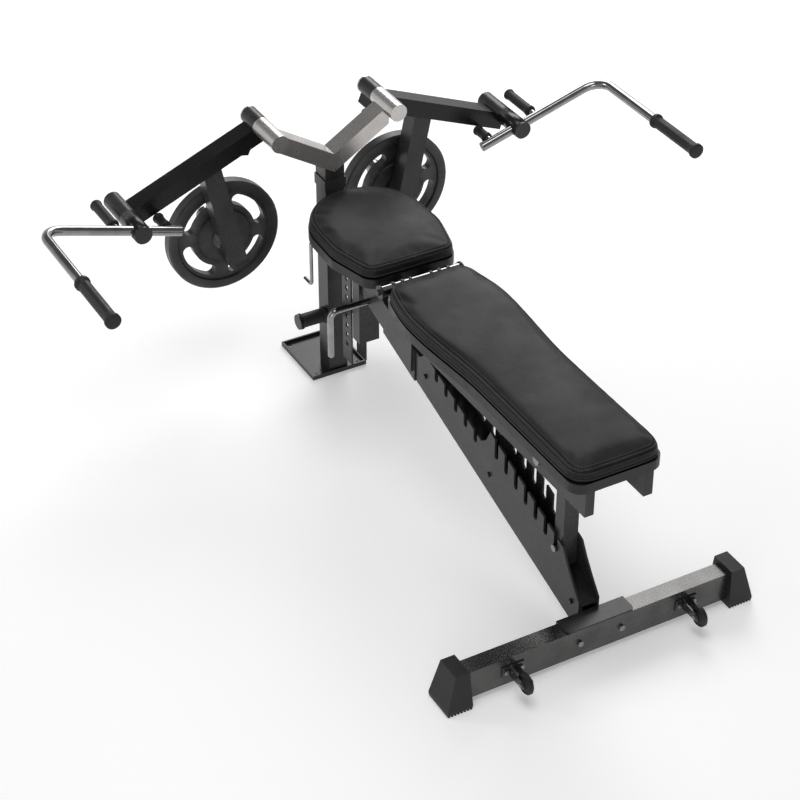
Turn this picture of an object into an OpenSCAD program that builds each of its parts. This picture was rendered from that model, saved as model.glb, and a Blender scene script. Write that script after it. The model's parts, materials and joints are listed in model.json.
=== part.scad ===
// Adjustable bench with a plate loaded twin lever station.
// X runs across the bench, Y runs from the foot bar to the column, and Z is up. Left is -X, right is +X.
// Y values below are measured from the middle of the foot bar. Every piece is then set down with the
// origin on the floor under the middle of the whole machine.

/* [Foot bar] */
// Half length of the foot bar tube
bar_half = 412; // [300:1:500]
// Depth of the foot bar tube along Y
bar_d = 50; // [30:1:80]
// Height of the foot bar tube
bar_h = 84; // [40:1:100]
// Height of the top face of the foot bar
bar_top = 100; // [80:1:140]
// Distance from the middle plane to the inner face of a rubber foot
foot_in = 389; // [280:1:480]
// Distance from the middle plane to the outer edge of a rubber foot at the floor
foot_out = 457; // [340:1:560]
// Distance from the middle plane to each transport wheel
caster_x = 259; // [120:1:340]
// Diameter of a transport wheel
wheel_d = 58; // [40:1:80]

/* [Main beam] */
// Width of the inclined main beam
beam_w = 50; // [30:1:80]
// Height of the beam section, measured vertically
beam_v = 94; // [60:1:120]
// Slope of the main beam in degrees
beam_angle = 17.3; // [5:0.1:30]
// Height of the underside line of the beam above the foot bar centre
beam_z0 = 18.4; // [10:0.1:60]
// Distance from one lower ladder slot to the next
slot_pitch = 49; // [30:1:70]
// Width of a ladder slot
slot_w = 18; // [12:0.5:30]

/* [Hinge of the pads] */
// Distance from the foot bar to the pad hinge
hinge_y = 904; // [700:1:1100]
// Height of the pad hinge
hinge_z = 598; // [400:1:760]
// Diameter of the hinge tube
hinge_d = 32; // [20:1:45]
// Half length of the hinge tube
hinge_half = 120; // [90:1:160]

/* [Pads] */
// Y of the far end of the back pad
back_y0 = -63; // [-150:1:100]
// Y of the hinge end of the back pad
back_y1 = 878; // [700:1:885]
// Height of the top of the back pad
back_top = 645; // [500:1:760]
// Thickness of the padding
pad_t = 44; // [30:1:90]
// Thickness of the shells under the pads
board_t = 28; // [8:1:40]
// Half width of the back pad over its straight far part
back_w0 = 128; // [90:1:180]
// Half width of the back pad at its widest place
back_w1 = 148; // [100:1:200]
// Half width of the back pad at its hinge end
back_w2 = 117; // [90:1:180]
// Y of the hinge end of the seat pad
seat_y0 = 944; // [942:1:1000]
// Y of the column end of the seat pad
seat_y1 = 1361; // [1200:1:1380]
// Height of the top of the seat pad
seat_top = 655; // [500:1:760]
// Half width of the seat pad at its hinge end
seat_w0 = 141; // [90:1:180]
// Half width of the seat pad at its widest place
seat_w1 = 169; // [100:1:200]

/* [Column and yoke] */
// Width of the column
col_w = 60; // [40:1:90]
// Y of the front face of the column and the yoke
col_y = 1395; // [1300:1:1500]
// Height of the underside of the yoke vertex
yoke_z = 682; // [500:1:800]
// Height of the yoke tube, measured vertically
yoke_v = 57; // [40:1:80]
// Distance from the middle plane to an arm pivot
pivot_x = 184; // [120:1:260]
// Height of the arm pivots
pivot_z = 838; // [600:1:950]
// Half width of the base tray
tray_half = 89; // [60:1:140]

/* [Arms] */
// Distance from the middle plane to a handle pivot
swivel_x = 599; // [400:1:750]
// Height of the handle pivots at rest
swivel_z = 669; // [450:1:800]
// Outside diameter of the pivot sleeves
sleeve_d = 52; // [40:1:70]
// Distance from the middle plane to a weight horn
horn_x = 280; // [200:1:360]
// Height of the weight horns at rest
horn_z = 474; // [300:1:600]
// Diameter of a weight horn
horn_d = 49; // [25:1:50]
// Outside diameter of a weight plate
plate_d = 345; // [250:1:450]
// Thickness of a weight plate at its rim
plate_t = 36; // [20:1:60]

/* [Handles] */
// Diameter of the chrome handle bar
tube_d = 28; // [20:1:35]
// Distance along the bar from its pivot to the corner
reach = 292; // [150:1:400]
// Tilt of the bar above level in degrees
reach_angle = 16.7; // [0:0.1:40]
// Y of the free end of the handle bar
grip_y = 902; // [700:1:1200]
// Length of the long grip
grip_l = 203; // [100:1:260]

/* [Hidden] */
$fn = 64;
slope = tan(beam_angle);
wall = 3;
bar_bot = bar_top - bar_h;
saddle_t = 5;
saddle_half = 100;
plate_gauge = 6;
beam_y0 = bar_d / 2 + saddle_t;
front_y = 1198;
front_d = 40;
front_half = 32;
front_bot = 224;
front_top = 560;
col_d = 60;
col_back = col_y + col_d;
yoke_slope = (pivot_z - 13 - yoke_z - yoke_v / 2) / pivot_x;
near_y = 1361;
seam_y = 1476;
far_y = 1549;
shaft_d = 30;
fit_gap = 0.05;
arm_y = 1480;
arm_d = 60;
arm_h = 50;
arm_angle = atan2(pivot_z - swivel_z, swivel_x - pivot_x);
arm_len = norm([swivel_x - pivot_x, pivot_z - swivel_z]);
hub_y0 = 1367;
hub_y1 = 1465;
sleeve_y1 = 1571;
stem_d = 24;
bar_line_y = 1390;
bend_r = 62;
strut_w = 56;
strut_y = 1482;
strut_d = 56;
strut_top = [330, 705];
strut_bot = [268, 415];
plate_y = strut_y + strut_d + 9;
horn_end = 1692;
back_bot = back_top - pad_t;
seat_bot = seat_top - pad_t;
rail_x = 84;
rail_w = 26;
rail_z0 = 500;
rail_z1 = back_bot - board_t;
rail_y0 = -62;
rail_y1 = 880;
prop_y = 152;
prop_z = 530;
prop_half = 22;
prop_d = 40;
prop_pin_z = 228;
rod_d = 16;
tower_x = beam_w / 2 + 4;
seat_arm_x = 52;
lug_x = rail_x - 4;
post_x = 20;
post_y0 = 1262;
post_y1 = 1315;
hole_z = 300;
hole_y = 1288;
hole_pitch = 32;
pin_d = 18;
pin_y = 1150;
pin_z = 398;
lip = 2;
link_z0 = 420;
link_z1 = 470;
roller_z = 204;
roller_y = col_y + 17;
roller_l = 80;
hub_r = 19;
caster_y = -88;
caster_z = 60;
bolt_off = 22;
mid_y = (caster_y - wheel_d / 2 + horn_end) / 2;

black = [0.05, 0.05, 0.055];
satin = [0.62, 0.62, 0.62];
chrome = [0.8, 0.8, 0.82];
rubber = [0.09, 0.09, 0.09];
hide = [0.07, 0.065, 0.065];
iron = [0.12, 0.12, 0.125];
shell = [0.08, 0.08, 0.08];

// Moves a piece so that the origin is under the middle of the machine
module set_down() {
  translate([0, -mid_y, 0]) children();
}

// A box given by its two opposite corners
module span(a, b) {
  translate(a) cube(b - a);
}

// A cylinder along X between two X values
module rod_x(x0, x1, y, z, d, n = 64) {
  translate([x0, y, z]) rotate([0, 90, 0]) cylinder(d = d, h = x1 - x0, $fn = n);
}

// A cylinder along Y between two Y values
module rod_y(x, y0, y1, z, d, n = 64) {
  translate([x, y0, z]) rotate([-90, 0, 0]) cylinder(d = d, h = y1 - y0, $fn = n);
}

// A flat plate in a plane across X, drawn in Y and Z
module plate_yz(x0, x1) {
  translate([x0, 0, 0]) rotate([90, 0, 90]) linear_extrude(x1 - x0) children();
}

// A flat plate in a plane across Y, drawn in X and Z
module plate_xz(y0, y1) {
  translate([0, y1, 0]) rotate([90, 0, 0]) linear_extrude(y1 - y0) children();
}

// Both sides of something drawn on the right
module both() {
  children();
  mirror([1, 0, 0]) children();
}

// Left copy of something drawn on the right
module left() {
  mirror([1, 0, 0]) children();
}

// Height of the underside of the main beam at a given Y
function beam_low(y) = beam_z0 + slope * y;

// Height of the top of the main beam at a given Y
function beam_high(y) = beam_low(y) + beam_v;

// Side outline of the main beam, grown by a margin
module beam_side(y0, y1, grow) {
  polygon([[y0, beam_low(y0) - grow], [y1, beam_low(y1) - grow],
           [y1, beam_high(y1) + grow], [y0, beam_high(y0) + grow]]);
}

// ---- Foot bar and what is on it ----

module foot_bar() {
  set_down() color(satin) difference() {
    span([-bar_half, -bar_d / 2, bar_bot], [bar_half, bar_d / 2, bar_top]);
    span([-bar_half - 1, -bar_d / 2 + wall, bar_bot + wall],
         [bar_half + 1, bar_d / 2 - wall, bar_top - wall]);
    both() rod_y(62, -bar_d, bar_d, bar_top - bar_h / 2, 10.2);
    both() for (s = [-1, 1]) rod_y(caster_x + bolt_off * s, -bar_d, 0, caster_z, 8.2);
  }
}

module foot_cap_right() {
  set_down() color(rubber) difference() {
    union() {
      hull() {
        span([foot_in - 4, -48, 14], [foot_out, 48, 15]);
        span([foot_in + 1, -38, 113], [430, 38, 114]);
      }
      span([foot_in - 4, -48, 6], [foot_out, 48, 14]);
      for (i = [0 : 7]) span([foot_in - 2 + i * 9, -48, 0], [foot_in + 3 + i * 9, 48, 6]);
    }
    span([foot_in - 9, -bar_d / 2, bar_bot], [bar_half, bar_d / 2, bar_top]);
  }
}

module foot_cap_left() {
  left() foot_cap_right();
}

module saddle_bracket() {
  set_down() color(black) difference() {
    union() {
      translate([0, 0, bar_top]) linear_extrude(saddle_t) hull() {
        both() translate([saddle_half - 12, -bar_d / 2 + 12]) circle(r = 12);
        both() translate([saddle_half - 1, bar_d / 2 + saddle_t - 1]) circle(r = 1);
      }
      span([-saddle_half, bar_d / 2, bar_bot + 4], [saddle_half, bar_d / 2 + saddle_t, bar_top]);
    }
    both() rod_y(62, 0, bar_d, bar_top - bar_h / 2, 10.2);
  }
}

module saddle_bolts() {
  bolt_z = bar_top - bar_h / 2;
  set_down() color(satin) both() {
    rod_y(62, -bar_d / 2 - 6.5, -bar_d / 2, bolt_z, 18, 6);
    rod_y(62, -bar_d / 2, bar_d / 2 + saddle_t + 12, bolt_z, 10);
    rod_y(62, bar_d / 2 + saddle_t, bar_d / 2 + saddle_t + 9, bolt_z, 18, 6);
  }
}

module caster_bracket_right() {
  face = -bar_d / 2;
  set_down() color(satin) difference() {
    union() {
      span([caster_x - 32, face - 4, caster_z - 16], [caster_x + 32, face, caster_z + 16]);
      for (s = [-1, 1]) plate_yz(caster_x + s * 11.5 - 1.5, caster_x + s * 11.5 + 1.5) hull() {
        translate([caster_y, caster_z]) circle(r = 11);
        translate([face - 6, caster_z - 13]) square([3, 26]);
      }
    }
    for (s = [-1, 1]) rod_y(caster_x + bolt_off * s, face - 5, 0, caster_z, 8.2);
    rod_x(caster_x - 20, caster_x + 20, caster_y, caster_z, 8.2);
  }
}

module caster_bracket_left() {
  left() caster_bracket_right();
}

module caster_bolts() {
  face = -bar_d / 2 - 4;
  set_down() color(satin) both() for (s = [-1, 1]) {
    rod_y(caster_x + bolt_off * s, face - 5.5, face, caster_z, 15, 6);
    rod_y(caster_x + bolt_off * s, face, -bar_d / 2 + 12, caster_z, 8);
  }
}

module caster_axles() {
  set_down() color(satin) both() {
    rod_x(caster_x - 18, caster_x + 18, caster_y, caster_z, 8);
    rod_x(caster_x - 18, caster_x - 13, caster_y, caster_z, 13, 6);
    rod_x(caster_x + 13, caster_x + 18, caster_y, caster_z, 13, 6);
  }
}

module caster_wheel_right() {
  set_down() color(rubber) translate([caster_x, caster_y, caster_z]) rotate([0, 90, 0]) rotate_extrude()
    polygon([[4.05, -9], [13, -9], [15, -6], [wheel_d / 2 - 7, -6], [wheel_d / 2 - 4, -8],
             [wheel_d / 2, -4.5], [wheel_d / 2, 4.5], [wheel_d / 2 - 4, 8], [wheel_d / 2 - 7, 6],
             [15, 6], [13, 9], [4.05, 9]]);
}

module caster_wheel_left() {
  left() caster_wheel_right();
}

// ---- Main beam and ladder ----

module main_beam() {
  half = beam_w / 2;
  set_down() color(black) difference() {
    plate_yz(-half, half) beam_side(beam_y0, front_y, 0);
    plate_yz(-half + wall, half - wall) beam_side(beam_y0 - 1, front_y + 1, -wall);
    for (y = [70, 480, 820]) rod_x(-half - 1, half + 1, y, beam_high(y) - 22, 8.2);
    rod_x(-half - 1, half + 1, pin_y, pin_z, pin_d + 2 * fit_gap);
  }
}

module beam_sleeve() {
  half = beam_w / 2;
  set_down() color(black) difference() {
    plate_yz(-half - 4, half + 4) beam_side(884, 1062, 4);
    plate_yz(-half, half) beam_side(880, 1066, 0);
  }
}

// Side outline of a ladder plate with its two rows of open slots
module ladder_outline() {
  lower = [for (i = [0 : 6]) prop_y + i * slot_pitch];
  upper = [for (i = [0 : 4]) 553 + i * 52];
  difference() {
    polygon([for (p = [[34, -40], [862, -40], [862, 2], [820, 46], [524, 46], [500, 70], [478, 118],
                       [466, 116], [120, 104], [96, 70], [60, 30], [34, 6]])
      [p.x, beam_high(p.x) + p.y]]);
    for (y = lower) {
      translate([y, beam_high(y) + 59 + slot_w / 2]) circle(d = slot_w);
      translate([y - slot_w / 2, beam_high(y) + 59 + slot_w / 2]) square([slot_w, 70]);
    }
    for (y = upper) {
      translate([y, beam_high(y) + 13 + slot_w / 2]) circle(d = slot_w);
      translate([y - slot_w / 2, beam_high(y) + 13 + slot_w / 2]) square([slot_w, 60]);
    }
  }
}

module ladder_plate_right() {
  x0 = beam_w / 2;
  set_down() color(black) difference() {
    plate_yz(x0, x0 + plate_gauge) ladder_outline();
    for (y = [70, 480, 820]) rod_x(0, x0 + 20, y, beam_high(y) - 22, 8.2);
  }
}

module ladder_plate_left() {
  left() ladder_plate_right();
}

module ladder_bolts() {
  x1 = beam_w / 2 + plate_gauge;
  set_down() color(black) for (y = [70, 480, 820]) {
    rod_x(-x1 - 5.5, x1 + 5.5, y, beam_high(y) - 22, 8);
    rod_x(x1, x1 + 5.5, y, beam_high(y) - 22, 15, 6);
    rod_x(-x1 - 5.5, -x1, y, beam_high(y) - 22, 15, 6);
  }
}

module hinge_tower() {
  set_down() color(black) difference() {
    both() plate_yz(tower_x, tower_x + plate_gauge) hull() {
      translate([hinge_y, hinge_z]) circle(r = hub_r);
      translate([894, beam_low(894) + 20]) square([10, 60]);
      translate([1010, beam_low(1010) + 20]) square([10, 60]);
    }
    rod_x(-60, 60, hinge_y, hinge_z, hinge_d);
  }
}

module hinge_tube() {
  set_down() color(chrome) difference() {
    rod_x(-hinge_half, hinge_half, hinge_y, hinge_z, hinge_d);
    rod_x(-hinge_half - 1, hinge_half + 1, hinge_y, hinge_z, 12);
  }
}

module hinge_caps() {
  set_down() color(black) both() {
    rod_x(hinge_half, hinge_half + 6, hinge_y, hinge_z, 38);
    rod_x(hinge_half + 6, hinge_half + 13, hinge_y, hinge_z, 18, 6);
    rod_x(hinge_half - 20, hinge_half, hinge_y, hinge_z, 12);
  }
}

module front_tube() {
  set_down() color(black) difference() {
    span([-front_half, front_y, front_bot], [front_half, front_y + front_d, front_top]);
    span([-front_half + wall, front_y + wall, front_bot - 1],
         [front_half - wall, front_y + front_d - wall, front_top - wall]);
  }
}

module link_tube() {
  set_down() color(black) difference() {
    span([-post_x, front_y + front_d, link_z0], [post_x, col_y, link_z1]);
    span([-post_x + wall, front_y, link_z0 + wall], [post_x - wall, col_back, link_z1 - wall]);
  }
}

module rack_plates() {
  set_down() color(black) both() difference() {
    span([post_x, post_y0, 112], [post_x + 5, post_y1, 556]);
    for (i = [-4 : 7]) rod_x(0, 60, hole_y, hole_z + i * hole_pitch, 16);
  }
}

// The bent locking pin: a level shank, a quarter bend and a hanging grip
module height_pin() {
  bend = 24;
  drop_x = -148;
  foot = 256;
  set_down() color(chrome) {
    rod_x(drop_x + bend, 44, pin_y, pin_z, pin_d);
    translate([drop_x + bend, pin_y, pin_z - bend]) rotate([90, 0, 0]) rotate([0, 0, 90])
      rotate_extrude(angle = 90) translate([bend, 0]) circle(d = pin_d);
    translate([drop_x, pin_y, foot]) cylinder(d = pin_d, h = pin_z - bend - foot);
    translate([drop_x, pin_y, foot]) sphere(d = pin_d);
  }
}

// ---- Column, tray and yoke ----

module base_tray() {
  y0 = col_y - 8;
  y1 = 1597;
  set_down() color(black) difference() {
    span([-tray_half, y0, 0], [tray_half, y1, 14]);
    span([-tray_half + 5, y0 + 5, 4], [tray_half - 5, y1 - 5, 15]);
    both() for (y = [y0 + 20, y1 - 20]) translate([tray_half - 20, y, -1]) cylinder(d = 9, h = 20);
  }
}

// Front outline of the right half of the yoke tube
module yoke_half(grow) {
  run = pivot_x - 10;
  polygon([[0, yoke_z - grow], [run, yoke_z + run * yoke_slope - grow],
           [run, yoke_z + run * yoke_slope + yoke_v + grow], [0, yoke_z + yoke_v + grow]]);
}

module column() {
  half = col_w / 2;
  set_down() color(black) difference() {
    span([-half, col_y, 4], [half, col_back, yoke_z + 24]);
    span([-half + wall, col_y + wall, 3], [half - wall, col_back - wall, yoke_z + 25]);
    both() plate_xz(col_y - 1, col_back + 1) yoke_half(0);
    rod_x(-half - 1, half + 1, roller_y, roller_z, 16);
  }
}

module column_band() {
  half = col_w / 2;
  set_down() color(black) difference() {
    span([-half - 3, col_y - 3, 626], [half + 3, col_back + 3, 660]);
    span([-half, col_y, 620], [half, col_back, 666]);
  }
}

module roller_axle() {
  roller_end = col_w / 2 + 4 + roller_l + 8;
  set_down() color(black) {
    both() rod_x(0, roller_end, roller_y, roller_z, 16);
    both() rod_x(roller_end - 5, roller_end, roller_y, roller_z, 46);
  }
}

module foot_roller_right() {
  set_down() color(rubber) translate([col_w / 2 + 4, roller_y, roller_z]) rotate([0, 90, 0]) rotate_extrude()
    polygon([[8.05, 0], [24, 0], [25, 2], [25, 6], [21, 9], [21, roller_l - 8], [24, roller_l - 4],
             [24, roller_l], [8.05, roller_l]]);
}

module foot_roller_left() {
  left() foot_roller_right();
}

module yoke() {
  set_down() color(satin) difference() {
    union() {
      both() plate_xz(col_y, col_back) yoke_half(0);
      both() rod_y(pivot_x, near_y, seam_y, pivot_z, sleeve_d);
    }
    both() rod_y(pivot_x, near_y - 1, seam_y + 1, pivot_z, shaft_d);
    both() plate_xz(col_y + wall, col_back - wall) intersection() {
      yoke_half(-wall * 1.2);
      square([pivot_x - sleeve_d / 2 - wall, 1000]);
    }
  }
}

module arm_shafts() {
  set_down() color(satin) both() rod_y(pivot_x, near_y, far_y + 1, pivot_z, shaft_d);
}

module arm_shaft_caps() {
  set_down() color(satin) both() {
    rod_y(pivot_x, near_y - 5, near_y, pivot_z, sleeve_d);
    rod_y(pivot_x, far_y + 1, far_y + 6, pivot_z, sleeve_d);
    rod_y(pivot_x, far_y + 6, far_y + 14, pivot_z, 24, 6);
  }
}

module arm_bumpers() {
  set_down() color(rubber) both() {
    rod_y(pivot_x - 44, col_back, arm_y - 4, yoke_z + (pivot_x - 44) * yoke_slope + yoke_v / 2, 22);
  }
}

// ---- Lever arms ----

// Places its children in the frame of the right arm, X along the arm from its pivot
module arm_frame() {
  translate([pivot_x, 0, pivot_z]) rotate([0, arm_angle, 0]) children();
}

module arm_tube_shape() {
  arm_frame() span([-14, arm_y, -arm_h], [arm_len + 14, arm_y + arm_d, 0]);
}

module arm_right() {
  set_down() color(black) difference() {
    union() {
      arm_tube_shape();
      rod_y(pivot_x, seam_y + 1, far_y, pivot_z, sleeve_d);
      rod_y(swivel_x, hub_y1 + 1, sleeve_y1, swivel_z, sleeve_d);
      plate_xz(arm_y + 24, arm_y + 34) polygon([[pivot_x + 4, pivot_z - 46], [pivot_x + 30, pivot_z - 98],
        [pivot_x + 96, pivot_z - 84]]);
    }
    arm_frame() span([30, arm_y + wall, -arm_h + wall], [arm_len - 30, arm_y + arm_d - wall, -wall]);
    rod_y(pivot_x, seam_y - 9, far_y + 9, pivot_z, shaft_d + 2 * fit_gap);
    rod_y(swivel_x, hub_y1 - 9, sleeve_y1 + 9, swivel_z, stem_d);
  }
}

module arm_left() {
  left() arm_right();
}

module strut_right() {
  lean = atan2(strut_top.x - strut_bot.x, strut_top.y - strut_bot.y);
  drop = norm(strut_top - strut_bot);
  set_down() color(black) difference() {
    translate([strut_bot.x, strut_y, strut_bot.y]) rotate([0, lean, 0]) difference() {
      span([-strut_w / 2, 0, 0], [strut_w / 2, strut_d, drop + 40]);
      span([-strut_w / 2 + wall, wall, wall], [strut_w / 2 - wall, strut_d - wall, drop + 41]);
    }
    arm_tube_shape();
    arm_frame() span([-60, arm_y - 9, -1], [arm_len, arm_y + arm_d + 9, 90]);
  }
}

module strut_left() {
  left() strut_right();
}

module horn_right() {
  y0 = strut_y + strut_d;
  set_down() color(chrome) {
    rod_y(horn_x, y0, y0 + 8, horn_z, 78);
    rod_y(horn_x, y0 + 8, horn_end - 4, horn_z, horn_d);
    translate([horn_x, horn_end - 4, horn_z]) rotate([-90, 0, 0])
      cylinder(d1 = horn_d, d2 = horn_d - 8, h = 4);
  }
}

module horn_left() {
  left() horn_right();
}

// A curved window with round ends, between two radii and over an angle
module kidney(r0, r1, sweep) {
  mid = (r0 + r1) / 2;
  tip = (r1 - r0) / 2;
  far_end = [for (a = [15 : 15 : 165]) [mid * cos(sweep) + tip * cos(sweep + a),
                                        mid * sin(sweep) + tip * sin(sweep + a)]];
  near_end = [for (a = [195 : 15 : 345]) [mid + tip * cos(a), tip * sin(a)]];
  polygon(concat([for (a = [0 : 6 : sweep]) [r1 * cos(a), r1 * sin(a)]], far_end,
                 [for (a = [sweep : -6 : 0]) [r0 * cos(a), r0 * sin(a)]], near_end));
}

// A cast plate with a raised rim, a raised hub and four kidney shaped windows
module weight_plate_right() {
  r = plate_d / 2;
  set_down() color(iron) translate([horn_x, plate_y, horn_z]) rotate([-90, 0, 0]) difference() {
    rotate_extrude($fn = 96) polygon([[horn_d / 2 + fit_gap, 0], [r * 0.46, 0], [r * 0.48, 5],
      [r * 0.82, 5], [r * 0.84, 0], [r - 4, 0], [r, 4], [r, plate_t - 4], [r - 4, plate_t],
      [r * 0.84, plate_t], [r * 0.82, plate_t - 5], [r * 0.48, plate_t - 5], [r * 0.46, plate_t],
      [horn_d / 2 + fit_gap, plate_t]]);
    for (a = [0 : 90 : 270]) rotate([0, 0, a + 12]) translate([0, 0, -1])
      linear_extrude(plate_t + 2) kidney(r * 0.57, r * 0.76, 54);
  }
}

module weight_plate_left() {
  left() weight_plate_right();
}

module plate_collars_right() {
  set_down() color(satin) difference() {
    union() {
      rod_y(horn_x, plate_y + plate_t + 1, plate_y + plate_t + 19, horn_z, 68);
      span([horn_x - 7, plate_y + plate_t + 4, horn_z + 30],
           [horn_x + 7, plate_y + plate_t + 16, horn_z + 46]);
    }
    rod_y(horn_x, plate_y, horn_end, horn_z, horn_d);
  }
}

module plate_collars_left() {
  left() plate_collars_right();
}

// ---- Swivelling handles ----

// Places its children at the right handle pivot, X along the chrome bar
module handle_frame() {
  translate([swivel_x, bar_line_y, swivel_z]) rotate([0, -reach_angle, 0]) children();
}

module handle_right() {
  leg_end = grip_y - bar_line_y;
  set_down() color(chrome) difference() {
    union() {
      rod_y(swivel_x, hub_y0, hub_y1, swivel_z, sleeve_d);
      handle_frame() {
        rod_x(-126, reach - bend_r, 0, 0, tube_d);
        translate([reach - bend_r, -bend_r, 0]) rotate_extrude(angle = 90)
          translate([bend_r, 0]) circle(d = tube_d);
        rod_y(reach, leg_end, -bend_r, 0, tube_d);
        rod_y(64, 0, 150, 0, 20);
        rod_y(-92, 0, 78, 0, 20);
      }
    }
    rod_y(swivel_x, hub_y0 - 1, hub_y1 + 1, swivel_z, stem_d + 2 * fit_gap);
  }
}

module handle_left() {
  left() handle_right();
}

// A ribbed rubber sleeve along Y with a flange at each end
module grip_sleeve(x, y0, y1, bore, d, cap) {
  n = floor((y1 - y0 - 20) / 12);
  translate([x, 0, 0]) difference() {
    union() {
      rod_y(0, y0, y1, 0, d);
      rod_y(0, y1 - 6, y1, 0, d + 7);
      rod_y(0, y0, y0 + 6, 0, d + 7);
      for (i = [1 : n]) rod_y(0, y0 + 8 + i * 12, y0 + 12 + i * 12, 0, d + 2);
    }
    rod_y(0, y0 + cap, y1 + 1, 0, bore);
  }
}

module handle_grip_right() {
  leg_end = grip_y - bar_line_y;
  set_down() color(rubber) handle_frame() {
    grip_sleeve(reach, leg_end - 8, leg_end + grip_l, tube_d, 36, 8);
    mirror([0, 1, 0]) grip_sleeve(64, -156, -28, 20, 30, 6);
    mirror([0, 1, 0]) grip_sleeve(-92, -82, -22, 20, 28, 4);
  }
}

module handle_grip_left() {
  left() handle_grip_right();
}

module swivel_stem_right() {
  set_down() color(satin) {
    rod_y(swivel_x, hub_y0 - 1, sleeve_y1, swivel_z, stem_d);
    rod_y(swivel_x, hub_y0 - 6, hub_y0 - 1, swivel_z, sleeve_d);
    rod_y(swivel_x, sleeve_y1, sleeve_y1 + 5, swivel_z, sleeve_d);
  }
}

module swivel_stem_left() {
  left() swivel_stem_right();
}

// ---- Back ----

// Half width of the back pad at a share of its length: straight, swelling, then narrowing to the hinge
function back_half(t) =
  t < 0.45 ? back_w0 :
  t < 0.8 ? back_w0 + (back_w1 - back_w0) * (1 - cos(180 * (t - 0.45) / 0.35)) / 2 :
  back_w2 + (back_w1 - back_w2) * cos(90 * (t - 0.8) / 0.2);

// Top outline of the back pad, grown by a margin
module back_outline(grow) {
  corner = 38;
  steps = 36;
  run = back_y1 - back_y0;
  turn_x = back_half(1 - corner / run) - corner;
  sides = [for (i = [1 : steps - 1]) let (t = i / steps)
    [back_half(t) + grow, back_y0 + run * t]];
  ends = concat(
    [for (a = [-90 : 15 : 0]) [back_w0 - corner + (corner + grow) * cos(a),
                               back_y0 + corner + (corner + grow) * sin(a)]],
    [for (p = sides) if (p.y > back_y0 + corner && p.y < back_y1 - corner) p],
    [for (a = [0 : 15 : 90]) [turn_x + (corner + grow) * cos(a),
                              back_y1 - corner + (corner + grow) * sin(a)]]);
  other_side = [for (i = [len(ends) - 1 : -1 : 0]) [-ends[i].x, ends[i].y]];
  polygon(concat(ends, other_side));
}

module back_pad() {
  set_down() color(hide) translate([0, 0, back_bot]) linear_extrude(pad_t) back_outline(0);
}

module back_board() {
  set_down() color(shell) translate([0, 0, rail_z1]) linear_extrude(board_t) back_outline(lip);
}

module back_rails() {
  set_down() color(black) difference() {
    union() {
      both() difference() {
        span([rail_x - rail_w / 2, rail_y0, rail_z0], [rail_x + rail_w / 2, rail_y1, rail_z1]);
        span([rail_x - rail_w / 2 + wall, rail_y0 + wall, rail_z0 + wall],
             [rail_x + rail_w / 2 - wall, rail_y1 - wall, rail_z1 - wall]);
      }
      both() plate_yz(lug_x, lug_x + 8) hull() {
        translate([hinge_y, hinge_z]) circle(r = hub_r);
        translate([rail_y1, rail_z0 + 10]) square([2, 60]);
      }
      for (y = [30, 420, 790])
        span([-rail_x + rail_w / 2, y, rail_z1 - 22], [rail_x - rail_w / 2, y + 40, rail_z1]);
    }
    rod_x(-150, 150, hinge_y, hinge_z, hinge_d + 2 * fit_gap);
    rod_x(-150, 150, prop_y, prop_z, rod_d);
  }
}

module prop_rod() {
  end = rail_x + rail_w / 2;
  set_down() color(satin) {
    rod_x(-end - 4, end + 4, prop_y, prop_z, rod_d);
    both() rod_x(end, end + 5, prop_y, prop_z, 26);
  }
}

module back_prop() {
  z0 = 174;
  set_down() color(black) difference() {
    union() {
      span([-prop_half, prop_y - prop_d / 2, z0], [prop_half, prop_y + prop_d / 2, prop_z]);
      rod_x(-prop_half, prop_half, prop_y, prop_z, prop_d);
    }
    span([-prop_half + wall, prop_y - prop_d / 2 + wall, z0 - 1],
         [prop_half - wall, prop_y + prop_d / 2 - wall, prop_z - 30]);
    rod_x(-60, 60, prop_y, prop_z, rod_d + 2 * fit_gap);
    rod_x(-60, 60, prop_y, prop_pin_z, 14);
  }
}

module prop_pin() {
  set_down() color(satin) {
    rod_x(-36, 36, prop_y, prop_pin_z, 14);
    both() rod_x(33, 38, prop_y, prop_pin_z, 20);
  }
}

// ---- Seat ----

// Top outline of the seat pad, grown by a margin
module seat_outline(grow) {
  hull() both() {
    translate([seat_w0 - 40, seat_y0 + 40]) circle(r = 40 + grow);
    translate([seat_w1 - 70, seat_y0 + 153]) circle(r = 70 + grow);
    translate([0, seat_y1 - 165]) circle(r = 165 + grow);
  }
}

module seat_pad() {
  set_down() color(hide) translate([0, 0, seat_bot]) linear_extrude(pad_t) seat_outline(0);
}

module seat_board() {
  set_down() color(shell) translate([0, 0, seat_bot - board_t]) linear_extrude(board_t) seat_outline(lip);
}

module seat_arms() {
  top = seat_bot - board_t;
  set_down() color(black) difference() {
    union() {
      both() plate_yz(seat_arm_x, seat_arm_x + 8) {
        hull() {
          translate([hinge_y, hinge_z]) circle(r = hub_r);
          translate([936, top - 62]) square([2, 62]);
        }
        polygon([[936, top - 62], [1250, top - 20], [1250, top], [936, top]]);
      }
      for (y = [1020, 1140]) span([-seat_arm_x, y, top - 18], [seat_arm_x, y + 30, top]);
    }
    rod_x(-80, 80, hinge_y, hinge_z, hinge_d + 2 * fit_gap);
  }
}

// A thin bent release rod that hangs under the left edge of the seat
module seat_release() {
  x = -156;
  y = 1244;
  d = 10;
  bend = 12;
  foot = 452;
  top = seat_bot - board_t;
  set_down() color(chrome) {
    rod_x(x, -seat_arm_x - 9, y, top - 10, d);
    translate([x, y, top - 10]) sphere(d = d);
    translate([x, y, foot]) cylinder(d = d, h = top - 10 - foot);
    translate([x, y + bend, foot]) rotate([0, 90, 0]) rotate_extrude(angle = -90)
      translate([bend, 0]) circle(d = d);
    rod_y(x, y + bend, y + 42, foot - bend, d);
  }
}

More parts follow.
